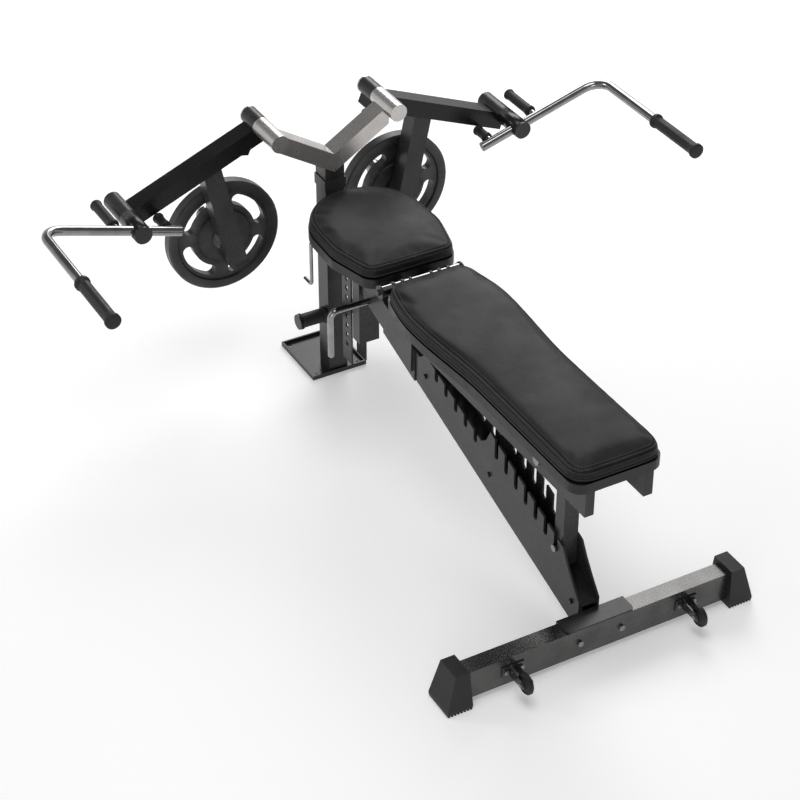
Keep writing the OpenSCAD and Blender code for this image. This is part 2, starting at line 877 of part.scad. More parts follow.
foot_bar();
foot_cap_left();
foot_cap_right();
saddle_bracket();
saddle_bolts();
caster_bracket_left();
caster_bracket_right();
caster_bolts();
caster_axles();
caster_wheel_left();
caster_wheel_right();
main_beam();
beam_sleeve();
ladder_plate_left();
ladder_plate_right();
ladder_bolts();
hinge_tower();
hinge_tube();
hinge_caps();
front_tube();
link_tube();
rack_plates();
height_pin();
base_tray();
column();
column_band();
roller_axle();
foot_roller_left();
foot_roller_right();
yoke();
arm_shafts();
arm_shaft_caps();
arm_bumpers();
arm_left();
arm_right();
strut_left();
strut_right();
horn_left();
horn_right();
weight_plate_left();
weight_plate_right();
plate_collars_left();
plate_collars_right();
handle_left();
handle_right();
handle_grip_left();
handle_grip_right();
swivel_stem_left();
swivel_stem_right();
back_pad();
back_board();
back_rails();
prop_rod();
back_prop();
prop_pin();
seat_pad();
seat_board();
seat_arms();
seat_release();
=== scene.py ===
"""Looks of the adjustable bench with its twin lever arms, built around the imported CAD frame."""
import json
import math
from bisect import bisect_right

import bmesh
import bpy
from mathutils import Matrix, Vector, noise
from mathutils.bvhtree import BVHTree
from mathutils.kdtree import KDTree


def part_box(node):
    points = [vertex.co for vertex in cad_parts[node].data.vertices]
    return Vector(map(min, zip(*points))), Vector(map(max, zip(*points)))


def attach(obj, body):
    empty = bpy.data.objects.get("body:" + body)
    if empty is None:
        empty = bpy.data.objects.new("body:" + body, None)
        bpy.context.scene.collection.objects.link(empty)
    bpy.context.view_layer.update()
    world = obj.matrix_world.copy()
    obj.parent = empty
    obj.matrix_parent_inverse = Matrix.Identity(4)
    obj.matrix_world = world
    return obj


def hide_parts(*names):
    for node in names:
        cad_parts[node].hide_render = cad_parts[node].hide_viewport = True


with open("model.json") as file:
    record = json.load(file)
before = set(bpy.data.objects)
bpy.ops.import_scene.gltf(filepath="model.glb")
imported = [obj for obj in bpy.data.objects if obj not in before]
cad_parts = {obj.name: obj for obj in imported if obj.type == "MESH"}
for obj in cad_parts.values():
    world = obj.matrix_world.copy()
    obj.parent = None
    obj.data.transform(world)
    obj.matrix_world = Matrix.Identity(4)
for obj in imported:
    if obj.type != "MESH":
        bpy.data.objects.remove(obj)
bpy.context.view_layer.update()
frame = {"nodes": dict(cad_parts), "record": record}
NODES = frame["nodes"]

# Lengths are in metres, angles in degrees and powers in watts, unless a name says otherwise.

CAMERA_PLACE = (-2.508, -4.2945, 3.862)
CAMERA_TURN = -29.0
CAMERA_RISE = 35.8
CAMERA_LENS_MM = 101.4
CAMERA_SENSOR_MM = 36.0
CAMERA_REACH = 100

FLOOR_SIDE = 60
FLOOR_GREY = 0.9
FLOOR_ROUGHNESS = 0.8
FLOOR_GLOW = 0.25
SKY_GREYS = [(0.0, 0.9), (0.12, 0.62), (0.45, 0.16), (1.0, 0.22)]
LIGHT_TARGET = (0, 0, 0.4)
LIGHTS = (  # name, place, side, power
    ("key", (2.4, 3.4, 3.3), 2.8, 120),
    ("front", (-3.4, -4.4, 1.7), 2.4, 42),
    ("top", (-0.6, -0.8, 5.2), 3.0, 95),
    ("rim", (-3.6, 2.4, 2.6), 1.6, 32),
)

EDGE_ROUND = 0.0012
EDGE_ANGLE = 50
SOFT_SLOTS = {"hide"}

# The back pad: half widths in mm at the far end, the shoulders and the hinge, as in the CAD,
# and the shares of its length where it starts to swell and to narrow.
BACK_HALVES_MM = (128, 148, 117)
BACK_CORNER = 0.038
SWELL_START, SWELL_RUN = 0.45, 0.35
TAPER_START, TAPER_RUN = 0.8, 0.2

# The seat pad: circles its outline wraps, as (inset from the widest x, y from the hinge
# edge, radius), and the radius of its round column end.
SEAT_CIRCLES = ((0.068, 0.04, 0.04), (0.07, 0.153, 0.07))
SEAT_ROUND = 0.165

# The cushions before and during filling.
OUTLINE_POINTS = 168
BOX_GAP = 0.001
CROWN = 0.007
CROWN_POWER = 2.2
TOP_ROUND = 0.010
LOW_ROUND = 0.006
COVER_INSET = 0.0015
SIDE_BULGE = 0.0015
SPINE_INSET = 0.09
VOXEL = 0.006
PRESSURE = 1.6
TRAVEL_CAP = 0.004
CLOTH_FRAMES = 20
PIN_BAND = 0.012
SETTLE_ROUNDS = 3

# Seams, piping and thread.
SEAM_INSET = COVER_INSET + TOP_ROUND * 0.55
SEAM_DROP = TOP_ROUND * 0.25
SEAM_DEPTH = 0.0022
SEAM_WIDTH = 0.0035
CREASE_BAND = 0.022
CREASE_HEIGHT = 0.0005
PUCKER_RISE = 0.008
PUCKER_HEIGHT = 0.0003
PIPING_R = 0.0021
PIPING_LIFT = 0.0003
HEM_R = 0.0034
HEM_RISE = 0.006
HEM_OUT = 0.002
STITCH_ROWS = (("inner", 0.010, 0.004), ("outer", -0.007, -0.008))  # name, inward, rise
STITCH_LENGTH = 0.0052
STITCH_GAP = 0.0026
STITCH_R = 0.00055
STITCH_STEP = 0.0005
STITCH_SHAPE = ((0.0, -0.6), (0.25, 0.25), (0.75, 0.25), (1.0, -0.6))  # share, height in radii
STITCH_SIDES = 5

# The right handle; the left one mirrors it. Grips lie along Y from their pivot.
HANDLE_PIVOT = (0.599, 0.6025, 0.669)
HANDLE_TILT = math.radians(16.7)
LONG_GRIP_R = 0.0178
LONG_GRIP_LENGTH = 0.211
LONG_GRIP_LIP = 0.004
LONG_GRIP_CAP = 0.012
LONG_GRIP_PLACE = (0.292, -0.496)
FLUTE_DEPTH = 0.0007
SHORT_GRIPS = ((0.064, 0.156, 0.128, 0.0148), (-0.092, 0.082, 0.060, 0.0138))  # x, y, length, r
SHORT_GRIP_LIP = 0.0022
SHORT_GRIP_CAP = 0.007
SLEEVE_LOW, SLEEVE_HIGH = -0.0228, 0.0748
SLEEVE_R = 0.0264
SLEEVE_END_R = 0.0257
SLEEVE_EDGE = 0.0004


# ------------------------------------------------------------------ shader helpers

def new_material(name):
    """A material with nodes, and its node tree and shader."""
    mat = bpy.data.materials.new(name)
    mat.use_nodes = True
    tree = mat.node_tree
    return mat, tree, tree.nodes["Principled BSDF"]


def object_coords(tree):
    return tree.nodes.new("ShaderNodeTexCoord").outputs["Object"]


def noise_node(tree, coords, scale, detail=3.0, roughness=0.5):
    node = tree.nodes.new("ShaderNodeTexNoise")
    node.inputs["Scale"].default_value = scale
    node.inputs["Detail"].default_value = detail
    node.inputs["Roughness"].default_value = roughness
    tree.links.new(coords, node.inputs["Vector"])
    return node.outputs["Fac"]


def ramp(tree, source, stops):
    """A colour ramp over (place, colour) stops; a plain number stands for a grey."""
    node = tree.nodes.new("ShaderNodeValToRGB")
    elements = node.color_ramp.elements
    while len(elements) < len(stops):
        elements.new(0.5)
    for element, (share, colour) in zip(elements, stops):
        element.position = share
        plain = isinstance(colour, (int, float))
        element.color = (colour, colour, colour, 1) if plain else (*colour, 1)
    tree.links.new(source, node.inputs["Fac"])
    return node.outputs["Color"]


def bumps(tree, shader, layers):
    """Chains bump maps; layers are (height output, strength, distance)."""
    normal = None
    for height, strength, distance in layers:
        node = tree.nodes.new("ShaderNodeBump")
        node.inputs["Strength"].default_value = strength
        node.inputs["Distance"].default_value = distance
        tree.links.new(height, node.inputs["Height"])
        if normal is not None:
            tree.links.new(normal, node.inputs["Normal"])
        normal = node.outputs["Normal"]
    tree.links.new(normal, shader.inputs["Normal"])


def mix_colours(tree, factor, a, b):
    """Blends colour outputs a and b by a factor output."""
    node = tree.nodes.new("ShaderNodeMix")
    node.data_type = "RGBA"
    tree.links.new(factor, node.inputs[0])
    tree.links.new(a, node.inputs[6])
    tree.links.new(b, node.inputs[7])
    return node.outputs[2]


def worn_edges(tree, low, high):
    """A mask that is bright on convex edges."""
    geometry = tree.nodes.new("ShaderNodeNewGeometry")
    return ramp(tree, geometry.outputs["Pointiness"], [(low, 0.0), (high, 1.0)])


# ----------------------------------------------------------------------- materials

def powder_coat(name, dark, light, metal, gloss, wear=0.25, shine=0.5):
    """Textured paint over steel: orange peel, faint mottling and rubbed edges."""
    mat, tree, shader = new_material(name)
    coords = object_coords(tree)
    mottle = noise_node(tree, coords, 14, 4)
    peel = noise_node(tree, coords, 900, 2)
    orange = noise_node(tree, coords, 260, 2)
    base = ramp(tree, mottle, [(0.35, dark), (0.7, light)])
    edge = worn_edges(tree, 0.53, 0.6)
    rubbed = ramp(tree, edge, [(0.0, 0.0), (1.0, wear)])
    steel_dark = tuple(min(1, c * 3 + 0.05) for c in light)
    steel_light = tuple(min(1, c * 4 + 0.08) for c in light)
    steel = ramp(tree, mottle, [(0.3, steel_dark), (0.7, steel_light)])
    tree.links.new(mix_colours(tree, rubbed, base, steel), shader.inputs["Base Color"])
    tree.links.new(ramp(tree, orange, [(0.3, gloss - 0.05), (0.75, gloss + 0.07)]),
                   shader.inputs["Roughness"])
    shader.inputs["Metallic"].default_value = metal
    shader.inputs["Specular IOR Level"].default_value = shine
    shader.inputs["Coat Weight"].default_value = 0.05
    shader.inputs["Coat Roughness"].default_value = 0.2
    bumps(tree, shader, [(orange, 0.08, 0.00016), (peel, 0.08, 0.00005)])
    return mat


def bright_metal(name, low, high, rough_low, rough_high, bump=0.04):
    """Polished metal with a fine grain, and smudges in its colour and gloss."""
    mat, tree, shader = new_material(name)
    coords = object_coords(tree)
    grain = noise_node(tree, coords, 700, 2)
    smudge = noise_node(tree, coords, 22, 5, 0.6)
    tree.links.new(ramp(tree, smudge, [(0.3, low), (0.75, high)]), shader.inputs["Base Color"])
    tree.links.new(ramp(tree, smudge, [(0.35, rough_low), (0.8, rough_high)]),
                   shader.inputs["Roughness"])
    shader.inputs["Metallic"].default_value = 1.0
    bumps(tree, shader, [(grain, bump, 0.0001)])
    return mat


def rubber_material(name, base, light, gloss=0.55):
    """Matte rubber, moulded plastic or thread with a trace of dust."""
    mat, tree, shader = new_material(name)
    coords = object_coords(tree)
    dust = noise_node(tree, coords, 30, 5, 0.65)
    grain = noise_node(tree, coords, 1300, 3)
    tree.links.new(ramp(tree, dust, [(0.35, base), (0.8, light)]), shader.inputs["Base Color"])
    tree.links.new(ramp(tree, dust, [(0.3, gloss - 0.08), (0.8, gloss + 0.12)]),
                   shader.inputs["Roughness"])
    shader.inputs["Specular IOR Level"].default_value = 0.4
    bumps(tree, shader, [(grain, 0.35, 0.00015)])
    return mat


def leather_material(name, base, light, gloss):
    """Grained upholstery leather: pebbled cells, creases and soft sheen."""
    mat, tree, shader = new_material(name)
    coords = object_coords(tree)
    cells = tree.nodes.new("ShaderNodeTexVoronoi")
    cells.feature = "DISTANCE_TO_EDGE"
    cells.inputs["Scale"].default_value = 420
    tree.links.new(coords, cells.inputs["Vector"])
    pebble = ramp(tree, cells.outputs["Distance"], [(0.0, 0.0), (0.16, 1.0)])
    fine = noise_node(tree, coords, 1500, 3)
    crease = noise_node(tree, coords, 26, 6, 0.62)
    patches = noise_node(tree, coords, 7, 5, 0.6)
    folds = ramp(tree, crease, [(0.42, 0.0), (0.5, 1.0), (0.58, 0.0)])
    tint = ramp(tree, patches, [(0.3, base), (0.72, light)])
    worn = ramp(tree, crease, [(0.3, base), (0.8, tuple(c * 1.5 for c in light))])
    worn_share = ramp(tree, patches, [(0.45, 0.0), (0.75, 0.55)])
    tree.links.new(mix_colours(tree, worn_share, tint, worn), shader.inputs["Base Color"])
    tree.links.new(ramp(tree, patches, [(0.3, gloss - 0.06), (0.75, gloss + 0.1)]),
                   shader.inputs["Roughness"])
    shader.inputs["Specular IOR Level"].default_value = 0.2
    shader.inputs["Sheen Weight"].default_value = 0.02
    shader.inputs["Sheen Roughness"].default_value = 0.4
    bumps(tree, shader, [(crease, 0.28, 0.0016), (folds, 0.05, 0.0006),
                         (pebble, 0.32, 0.00022), (fine, 0.2, 0.00008)])
    return mat


def cast_iron(name):
    """Black enamel over a rough casting."""
    mat, tree, shader = new_material(name)
    coords = object_coords(tree)
    cast = noise_node(tree, coords, 240, 5, 0.65)
    mottle = noise_node(tree, coords, 18, 4)
    base = ramp(tree, mottle, [(0.3, 0.009), (0.75, 0.02)])
    edge = ramp(tree, worn_edges(tree, 0.52, 0.58), [(0.0, 0.0), (1.0, 0.35)])
    bare = ramp(tree, mottle, [(0.3, 0.08), (0.7, 0.14)])
    tree.links.new(mix_colours(tree, edge, base, bare), shader.inputs["Base Color"])
    tree.links.new(ramp(tree, cast, [(0.3, 0.34), (0.75, 0.5)]), shader.inputs["Roughness"])
    shader.inputs["Metallic"].default_value = 0.35
    bumps(tree, shader, [(cast, 0.32, 0.0007), (mottle, 0.1, 0.001)])
    return mat


def grey(value):
    return (value, value, value)


MATS = {
    "bar_metal": powder_coat("bar_metal", (0.038, 0.037, 0.036), (0.055, 0.054, 0.053),
                             metal=0.85, gloss=0.27),
    "yoke_metal": powder_coat("yoke_metal", (0.5, 0.475, 0.46), (0.58, 0.555, 0.54),
                              metal=0.9, gloss=0.3, wear=0.1),
    "zinc_bolt": bright_metal("zinc_bolt", 0.2, 0.34, 0.22, 0.36),
    "black_paint": powder_coat("black_paint", (0.0045, 0.0045, 0.0047),
                               (0.008, 0.008, 0.0083), metal=0.0, gloss=0.3, shine=0.26),
    "chrome": bright_metal("chrome", 0.24, 0.36, 0.1, 0.2, bump=0.02),
    "rubber": rubber_material("rubber", grey(0.006), grey(0.014)),
    "plate_iron": cast_iron("plate_iron"),
    "pad_shell": rubber_material("pad_shell", grey(0.004), grey(0.009), gloss=0.42),
    "hide": leather_material("hide", (0.0045, 0.004, 0.0038), (0.0115, 0.0102, 0.0097),
                             gloss=0.5),
    # The piping leather is the hide's leather with a lighter base colour, a painted highlight for
    # the light line along the pad edges; the hem uses it too.
    "piping": leather_material("piping", (0.012, 0.011, 0.0105), (0.026, 0.0235, 0.0225),
                               gloss=0.36),
    "dark_steel": powder_coat("dark_steel", (0.02, 0.0195, 0.019), (0.035, 0.034, 0.033),
                              metal=0.8, gloss=0.26, wear=0.15),
    "thread": rubber_material("thread", (0.07, 0.066, 0.063), (0.12, 0.114, 0.11),
                              gloss=0.6),
}


def paint_nodes():
    """Gives each CAD node its finish, and rounds the sharp edges of the hard ones."""
    for part in frame["record"]["subparts"]:
        node = NODES[part["node"]]
        node.data.materials.clear()
        node.data.materials.append(MATS[part["material_slot"]])
        if part["material_slot"] in SOFT_SLOTS:
            continue
        edge = node.modifiers.new("soft_edges", "BEVEL")
        edge.width = EDGE_ROUND
        edge.segments = 2
        edge.limit_method = "ANGLE"
        edge.angle_limit = math.radians(EDGE_ANGLE)
        edge.harden_normals = False
        edge.use_clamp_overlap = True


# -------------------------------------------------------------------------- meshes

def mesh_object(name, vertices, faces):
    mesh = bpy.data.meshes.new(name)
    mesh.from_pydata(vertices, [], faces)
    mesh.validate()
    for polygon in mesh.polygons:
        polygon.use_smooth = True
    obj = bpy.data.objects.new(name, mesh)
    bpy.context.scene.collection.objects.link(obj)
    return obj


def place(obj, material, body, slot, *nodes):
    """Finishes a piece: its material, its body and the nodes it stands for; the slot is not used.
    """
    obj.data.materials.clear()
    obj.data.materials.append(MATS[material])
    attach(obj, body)
    if nodes:
        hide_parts(*nodes)
    return obj


def band_faces(rings, sides, base=0):
    """The side faces between neighbouring rings of vertices."""
    faces = []
    for r in range(rings - 1):
        for k in range(sides):
            m = (k + 1) % sides
            faces.append((base + r * sides + k, base + (r + 1) * sides + k,
                          base + (r + 1) * sides + m, base + r * sides + m))
    return faces


def resample(points, count):
    """Evenly spaced points along a closed outline."""
    total = [0.0]
    ring = points + [points[0]]
    for a, b in zip(ring, ring[1:]):
        total.append(total[-1] + (b - a).length)
    out = []
    j = 0
    for i in range(count):
        want = total[-1] * i / count
        while total[j + 1] < want:
            j += 1
        share = (want - total[j]) / max(total[j + 1] - total[j], 1e-9)
        out.append(ring[j].lerp(ring[j + 1], share))
    return out


def outline_normals(points):
    """Outward normals of a closed outline that runs anticlockwise."""
    count = len(points)
    out = []
    for i in range(count):
        step = points[(i + 1) % count] - points[i - 1]
        out.append(Vector((step.y, -step.x)).normalized())
    return out


def smooth_outline(points, rounds):
    for _ in range(rounds):
        count = len(points)
        points = [(points[i - 1] + points[i] * 2 + points[(i + 1) % count]) / 4
                  for i in range(count)]
    return points


# ---------------------------------------------------------------------------- pads

def back_half(t, far_half, broad, near_half):
    """Half width at a share of the length: straight, swelling, then narrowing to the hinge."""
    if t < SWELL_START:
        return far_half
    if t < TAPER_START:
        rise = (1 - math.cos(math.pi * (t - SWELL_START) / SWELL_RUN)) / 2
        return far_half + (broad - far_half) * rise
    fall = math.cos(math.pi / 2 * (t - TAPER_START) / TAPER_RUN)
    return near_half + (broad - near_half) * fall


def back_outline():
    """The back pad's outline: straight far part, broad shoulders, rounded corners."""
    low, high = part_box("back_pad")
    run = high[1] - low[1]
    far, broad, near = BACK_HALVES_MM
    widths = (high[0] * far / broad, high[0], high[0] * near / broad)
    corner = BACK_CORNER
    turn = back_half(1 - corner / run, *widths) - corner
    half = []
    for i in range(7):
        a = math.radians(-90 + 15 * i)
        half.append((widths[0] - corner + corner * math.cos(a),
                     low[1] + corner + corner * math.sin(a)))
    for i in range(1, 90):
        t = i / 90
        if corner / run < t < 1 - corner / run:
            half.append((back_half(t, *widths), low[1] + run * t))
    for i in range(7):
        a = math.radians(15 * i)
        half.append((turn + corner * math.cos(a), high[1] - corner + corner * math.sin(a)))
    return [Vector(p) for p in half] + [Vector((-x, y)) for x, y in reversed(half)]


def seat_outline():
    """The seat pad's outline: a straight hinge edge, full sides and a round column end."""
    low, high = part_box("seat_pad")
    sides = [(high[0] - inset, low[1] + y, r) for inset, y, r in SEAT_CIRCLES]
    circles = sides + [(0.0, high[1] - SEAT_ROUND, SEAT_ROUND)]
    circles += [(-x, y, r) for x, y, r in sides]
    points = []
    for i in range(360):
        n = Vector((math.cos(math.radians(i)), math.sin(math.radians(i))))
        x, y, r = max(circles, key=lambda c: c[0] * n.x + c[1] * n.y + c[2])
        points.append(Vector((x, y)) + n * r)
    return points


def cushion_mesh(name, outline, z0, z1):
    """A crowned closed cushion over an outline, with rounded edges and a fuller middle band."""
    count = OUTLINE_POINTS
    edge = smooth_outline(resample(outline, count), 3)
    normals = outline_normals(edge)
    ys = [p.y for p in edge]
    spine_low, spine_high = min(ys) + SPINE_INSET, max(ys) - SPINE_INSET
    spine = [Vector((0, min(max(p.y, spine_low), spine_high))) for p in edge]
    vertices = []

    def ring(inward, share, z):
        for p, n, c in zip(edge, normals, spine):
            q = p - n * (COVER_INSET + inward)
            q = q.lerp(c, share)
            vertices.append(Vector((q.x, q.y, z)))

    for share in (0.94, 0.7, 0.4, 0.12):
        ring(LOW_ROUND, share, z0)
    for i in range(4):
        a = math.radians(90 * i / 3)
        ring(LOW_ROUND * (1 - math.sin(a)), 0, z0 + LOW_ROUND * (1 - math.cos(a)))
    side = z1 - CROWN - TOP_ROUND - z0 - LOW_ROUND
    for i in range(1, 4):
        ring(-SIDE_BULGE * math.sin(math.pi * i / 4), 0, z0 + LOW_ROUND + side * i / 4)
    for i in range(6):
        a = math.radians(90 * i / 5)
        ring(TOP_ROUND * (1 - math.cos(a)), 0, z1 - CROWN - TOP_ROUND * (1 - math.sin(a)))
    for i in range(1, 12):
        t = i / 12
        ring(TOP_ROUND, t, z1 - CROWN * (1 - t) ** CROWN_POWER)
    rings = len(vertices) // count
    faces = []
    for r in range(rings - 1):
        for i in range(count):
            j = (i + 1) % count
            faces.append((r * count + i, r * count + j,
                          (r + 1) * count + j, (r + 1) * count + i))
    faces.append(tuple(range(count - 1, -1, -1)))
    last = (rings - 1) * count
    faces.append(tuple(last + i for i in range(count)))
    return mesh_object(name, vertices, faces), edge, normals


def inflate(obj):
    """Fills a cushion by cloth simulation; no point travels further than the cap."""
    scene = bpy.context.scene
    bpy.context.view_layer.objects.active = obj
    for other in bpy.context.selected_objects:
        other.select_set(False)
    obj.select_set(True)
    remesh = obj.modifiers.new("remesh", "REMESH")
    remesh.mode = "VOXEL"
    remesh.voxel_size = VOXEL
    bpy.ops.object.modifier_apply(modifier="remesh")
    before = [v.co.copy() for v in obj.data.vertices]
    low = min(p.z for p in before)
    pins = obj.vertex_groups.new(name="pins")
    pins.add([i for i, p in enumerate(before) if p.z < low + PIN_BAND], 1.0, "REPLACE")
    cloth = obj.modifiers.new("cloth", "CLOTH")
    cloth.settings.quality = 5
    cloth.settings.mass = 0.4
    cloth.settings.tension_stiffness = 25
    cloth.settings.compression_stiffness = 25
    cloth.settings.shear_stiffness = 12
    cloth.settings.bending_stiffness = 8.0
    cloth.settings.use_pressure = True
    cloth.settings.uniform_pressure_force = PRESSURE
    cloth.settings.effector_weights.gravity = 0
    cloth.settings.vertex_group_mass = "pins"
    cloth.collision_settings.use_collision = False
    cloth.point_cache.frame_start = 1
    cloth.point_cache.frame_end = CLOTH_FRAMES
    for step in range(1, CLOTH_FRAMES + 1):
        scene.frame_set(step)
    shaped = obj.evaluated_get(bpy.context.evaluated_depsgraph_get())
    after = [v.co.copy() for v in shaped.to_mesh().vertices]
    shaped.to_mesh_clear()
    obj.modifiers.remove(cloth)
    for vertex, a, b in zip(obj.data.vertices, before, after):
        move = b - a
        if move.length > TRAVEL_CAP:
            move *= TRAVEL_CAP / move.length
        vertex.co = a + move
    scene.frame_set(1)
    obj.vertex_groups.clear()
    settle(obj, SETTLE_ROUNDS)
    for polygon in obj.data.polygons:
        polygon.use_smooth = True


def settle(obj, rounds):
    """Evens out the voxel steps that a remesh leaves."""
    bm = bmesh.new()
    bm.from_mesh(obj.data)
    for _ in range(rounds):
        bmesh.ops.smooth_vert(bm, verts=bm.verts, factor=0.5,
                              use_axis_x=True, use_axis_y=True, use_axis_z=True)
    bm.to_mesh(obj.data)
    bm.free()


def press_features(obj, seam):
    """Presses a seam groove round the cushion, creases its top and puckers its sides."""
    low = min(v.co.z for v in obj.data.vertices)
    high = max(v.co.z for v in obj.data.vertices)
    finder = KDTree(len(seam))
    for i, p in enumerate(seam):
        finder.insert(p, i)
    finder.balance()
    for vertex in obj.data.vertices:
        co = vertex.co
        _, _, far = finder.find(co)
        if far < SEAM_WIDTH * 2.5:
            vertex.co = co - vertex.normal * SEAM_DEPTH * math.exp(-(far / SEAM_WIDTH) ** 2)
        if co.z > high - CREASE_BAND:
            wave = noise.fractal(Vector((co.x * 7, co.y * 5, 3.1)), 0.9, 2.0, 4)
            vertex.co.z += CREASE_HEIGHT * wave
        elif co.z > low + PUCKER_RISE:
            pucker = noise.noise(Vector((co.x * 16, co.y * 16, co.z * 9)))
            vertex.co += vertex.normal * PUCKER_HEIGHT * pucker


def on_surface(obj, points, lift):
    """The nearest place of a surface to each point, raised by lift, with its normal."""
    tree = BVHTree.FromPolygons([v.co for v in obj.data.vertices],
                                [p.vertices for p in obj.data.polygons])
    out = []
    for p in points:
        spot, normal, _, _ = tree.find_nearest(p)
        out.append((spot + normal * lift, normal))
    return out


def loop_tube(name, centres, radius, sides=8):
    """A round tube through points, closed on itself."""
    count = len(centres)
    vertices = []
    for i, c in enumerate(centres):
        along = (centres[(i + 1) % count] - centres[i - 1]).normalized()
        across = along.cross(Vector((0, 0, 1))).normalized()
        up = across.cross(along).normalized()
        for k in range(sides):
            a = 2 * math.pi * k / sides
            vertices.append(c + across * math.cos(a) * radius + up * math.sin(a) * radius)
    faces = []
    for i in range(count):
        j = (i + 1) % count
        for k in range(sides):
            m = (k + 1) % sides
            faces.append((i * sides + k, j * sides + k, j * sides + m, i * sides + m))
    return mesh_object(name, vertices, faces)


def stitches(name, track):
    """A run of short thread stitches along a closed track of (point, normal)."""
    ring = [p for p, _ in track] + [track[0][0]]
    marks = [0.0]
    for a, b in zip(ring, ring[1:]):
        marks.append(marks[-1] + (b - a).length)
    total = marks[-1]

    def at(want):
        want = want % total
        i = bisect_right(marks, want) - 1
        share = (want - marks[i]) / max(marks[i + 1] - marks[i], 1e-9)
        return ring[i].lerp(ring[i + 1], share), track[i][1]

    vertices = []
    faces = []
    sides = STITCH_SIDES
    count = int(total / (STITCH_LENGTH + STITCH_GAP))
    for s in range(count):
        start = s * total / count
        base = len(vertices)
        for step, sink in STITCH_SHAPE:
            p, n = at(start + STITCH_LENGTH * step)
            q, _ = at(start + STITCH_LENGTH * step + STITCH_STEP)
            along = (q - p).normalized()
            across = along.cross(n).normalized()
            for k in range(sides):
                a = 2 * math.pi * k / sides
                vertices.append(p + n * (STITCH_R * sink + math.sin(a) * STITCH_R)
                                + across * math.cos(a) * STITCH_R)
        faces += band_faces(len(STITCH_SHAPE), sides, base)
        faces.append(tuple(base + k for k in range(sides)))
        faces.append(tuple(base + 3 * sides + k for k in range(sides - 1, -1, -1)))
    return mesh_object(name, vertices, faces)


def upholster(node, body, outline):
    """Builds one pad: its cover, piping at the top edge, a lower hem and two stitch rows."""
    low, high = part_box(node)
    cover, edge, normals = cushion_mesh(body + "_cover", outline, low[2] + BOX_GAP,
                                        high[2] - BOX_GAP)

    def line(inward, z):
        ring = [p - n * inward for p, n in zip(edge, normals)]
        return [Vector((p.x, p.y, z)) for p in ring]

    inflate(cover)
    z_seam = high[2] - CROWN - SEAM_DROP
    seam = line(SEAM_INSET, z_seam)
    press_features(cover, seam)
    subdivide = cover.modifiers.new("smooth", "SUBSURF")
    subdivide.levels = 1
    subdivide.render_levels = 1
    place(cover, "hide", body, "hide", node)

    # The piping and the hem take the lighter piping leather, whose colour paints a highlight
    # along the pad's top and lower edges.
    track = on_surface(cover, seam, PIPING_LIFT)
    piping = loop_tube(body + "_piping", [p for p, _ in track], PIPING_R)
    place(piping, "piping", body, "hide")
    track = on_surface(cover, line(COVER_INSET - HEM_OUT, low[2] + HEM_RISE), 0.0)
    hem = loop_tube(body + "_hem", [p for p, _ in track], HEM_R)
    place(hem, "piping", body, "hide")
    for row, inward, rise in STITCH_ROWS:
        track = on_surface(cover, line(SEAM_INSET + inward, z_seam + rise), 0.0)
        thread = stitches(body + "_stitch_" + row, track)
        place(thread, "thread", body, "hide")


# ------------------------------------------------------------------------- handles

def lathe(name, profile, sides, flute=0.0):
    """A closed solid of revolution about Y from (y, radius) pairs; flute ripples a long grip."""
    vertices = []
    faces = []
    for y, radius in profile:
        fluted = flute and abs(radius - LONG_GRIP_R) < 0.0002
        for k in range(sides):
            a = 2 * math.pi * k / sides
            dip = flute if fluted and k % 4 == 0 else 0.0
            vertices.append((math.cos(a) * (radius - dip), y, math.sin(a) * (radius - dip)))
    for r in range(len(profile) - 1):
        for k in range(sides):
            m = (k + 1) % sides
            faces.append((r * sides + k, r * sides + m,
                          (r + 1) * sides + m, (r + 1) * sides + k))
    faces.append(tuple(range(sides - 1, -1, -1)))
    last = (len(profile) - 1) * sides
    faces.append(tuple(last + k for k in range(sides)))
    return mesh_object(name, vertices, faces)


def ring_profile(y0, y1, radius, lip):
    """Half a rounded ring from y0 to y1 that stands out by lip."""
    return [(y0 + (y1 - y0) * (1 - math.cos(math.pi * i / 6)) / 2,
             radius + lip * math.sin(math.pi * i / 6) ** 0.6) for i in range(7)]


def grip_profile(length, body, lip, cap):
    """A moulded grip: domed cap, body and a rounded flange where it meets the bar."""
    out = [(0.0, body * 0.55), (0.0006, body * 0.9), (0.0012, body + lip * 0.55),
           (0.003, body + lip), (cap, body + lip), (cap + 0.003, body + lip * 0.5),
           (cap + 0.005, body)]
    steps = 10
    for i in range(1, steps):
        out.append((cap + 0.005 + (length - cap - 0.020) * i / steps, body))
    out += ring_profile(length - 0.015, length - 0.001, body, lip)
    out.append((length, body * 0.8))
    return out


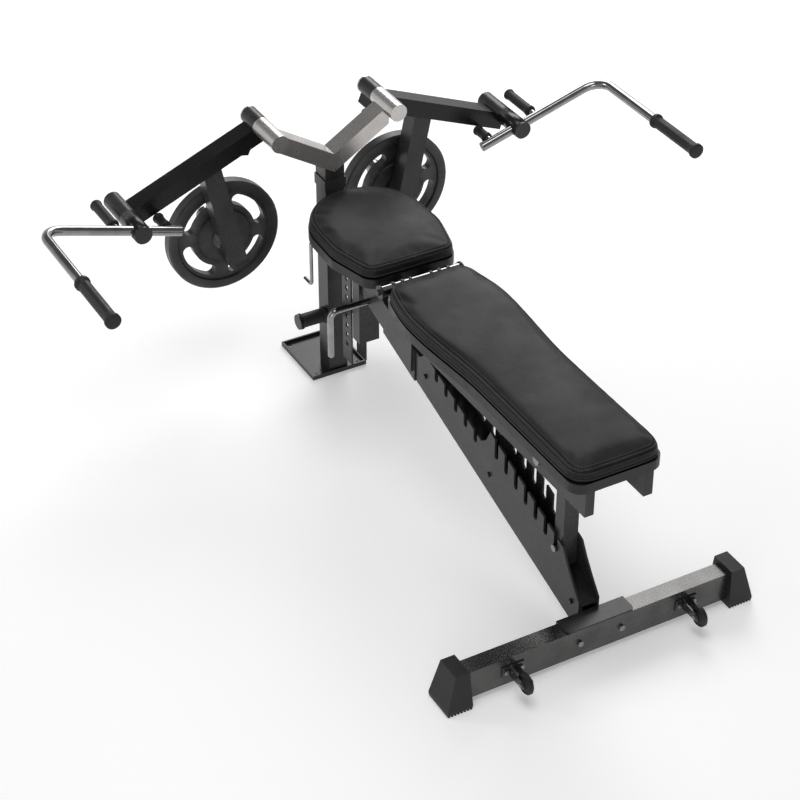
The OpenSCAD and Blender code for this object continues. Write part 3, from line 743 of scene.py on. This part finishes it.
def handle_dress(side):
    """Moulded grips and a dark hub sleeve on one swivelling handle."""
    sign = 1 if side == "right" else -1
    body = "handle_" + side
    profile = grip_profile(LONG_GRIP_LENGTH, LONG_GRIP_R, LONG_GRIP_LIP, LONG_GRIP_CAP)
    pieces = [(lathe("long", profile, 48, FLUTE_DEPTH), *LONG_GRIP_PLACE, 1)]
    for along, end, length, radius in SHORT_GRIPS:
        profile = grip_profile(length, radius, SHORT_GRIP_LIP, SHORT_GRIP_CAP)
        pieces.append((lathe("short", profile, 32), along, end, -1))
    cos_tilt, sin_tilt = math.cos(HANDLE_TILT), math.sin(HANDLE_TILT)
    vertices = []
    faces = []
    for obj, along, end, way in pieces:
        base = len(vertices)
        for vertex in obj.data.vertices:
            x, y, z = along + vertex.co.x * way, end + way * vertex.co.y, vertex.co.z
            turned = (x * cos_tilt - z * sin_tilt, y, x * sin_tilt + z * cos_tilt)
            vertices.append((sign * (HANDLE_PIVOT[0] + turned[0]), HANDLE_PIVOT[1] + turned[1],
                             HANDLE_PIVOT[2] + turned[2]))
        for polygon in obj.data.polygons:
            loop = [base + i for i in polygon.vertices]
            faces.append(loop if sign > 0 else loop[::-1])
        bpy.data.objects.remove(obj)
    grips = mesh_object("grips_" + side, vertices, faces)
    place(grips, "rubber", body, "rubber", "handle_grip_" + side)

    profile = [(SLEEVE_LOW, SLEEVE_END_R), (SLEEVE_LOW + SLEEVE_EDGE, SLEEVE_R),
               (SLEEVE_HIGH - SLEEVE_EDGE, SLEEVE_R), (SLEEVE_HIGH, SLEEVE_END_R)]
    sleeve = lathe("hub_sleeve_" + side, profile, 64)
    for vertex in sleeve.data.vertices:
        vertex.co += Vector((sign * HANDLE_PIVOT[0], HANDLE_PIVOT[1], HANDLE_PIVOT[2]))
    place(sleeve, "dark_steel", body, "black_paint")


# ---------------------------------------------------------------- stage and camera

def white_floor():
    mat, _, shader = new_material("floor")
    shader.inputs["Base Color"].default_value = (*grey(FLOOR_GREY), 1)
    shader.inputs["Roughness"].default_value = FLOOR_ROUGHNESS
    shader.inputs["Emission Color"].default_value = (1, 1, 1, 1)
    shader.inputs["Emission Strength"].default_value = FLOOR_GLOW
    bpy.ops.mesh.primitive_plane_add(size=FLOOR_SIDE, location=(0, 0, 0))
    floor = bpy.context.object
    floor.name = "floor"
    floor.data.materials.append(mat)


def studio_sky():
    """A world that is bright at the horizon and dim above, for soft reflections."""
    world = bpy.data.worlds.new("studio")
    bpy.context.scene.world = world
    world.use_nodes = True
    tree = world.node_tree
    coords = tree.nodes.new("ShaderNodeTexCoord")
    split = tree.nodes.new("ShaderNodeSeparateXYZ")
    tree.links.new(coords.outputs["Generated"], split.inputs["Vector"])
    background = tree.nodes["Background"]
    tree.links.new(ramp(tree, split.outputs["Z"], SKY_GREYS), background.inputs["Color"])
    background.inputs["Strength"].default_value = 1.0


def studio_lights():
    target = Vector(LIGHT_TARGET)
    for name, spot, side, power in LIGHTS:
        data = bpy.data.lights.new(name, "AREA")
        data.shape = "SQUARE"
        data.size = side
        data.energy = power
        lamp = bpy.data.objects.new(name, data)
        bpy.context.scene.collection.objects.link(lamp)
        lamp.location = spot
        lamp.rotation_euler = (target - Vector(spot)).to_track_quat("-Z", "Y").to_euler()


def camera():
    """A long lens from the front left and above, looking down at the whole bench."""
    turn = math.radians(CAMERA_TURN)
    rise = math.radians(CAMERA_RISE)
    data = bpy.data.cameras.new("camera")
    data.sensor_width = CAMERA_SENSOR_MM
    data.lens = CAMERA_LENS_MM
    data.clip_end = CAMERA_REACH
    eye = bpy.data.objects.new("camera", data)
    bpy.context.scene.collection.objects.link(eye)
    away = Vector((math.sin(turn) * math.cos(rise), -math.cos(turn) * math.cos(rise),
                   math.sin(rise)))
    eye.location = CAMERA_PLACE
    eye.rotation_euler = away.to_track_quat("Z", "Y").to_euler()
    bpy.context.scene.camera = eye
    bpy.context.scene.view_settings.view_transform = "Standard"


camera()
white_floor()
studio_sky()
studio_lights()
paint_nodes()
upholster("back_pad", "back", back_outline())
upholster("seat_pad", "seat", seat_outline())
handle_dress("left")
handle_dress("right")
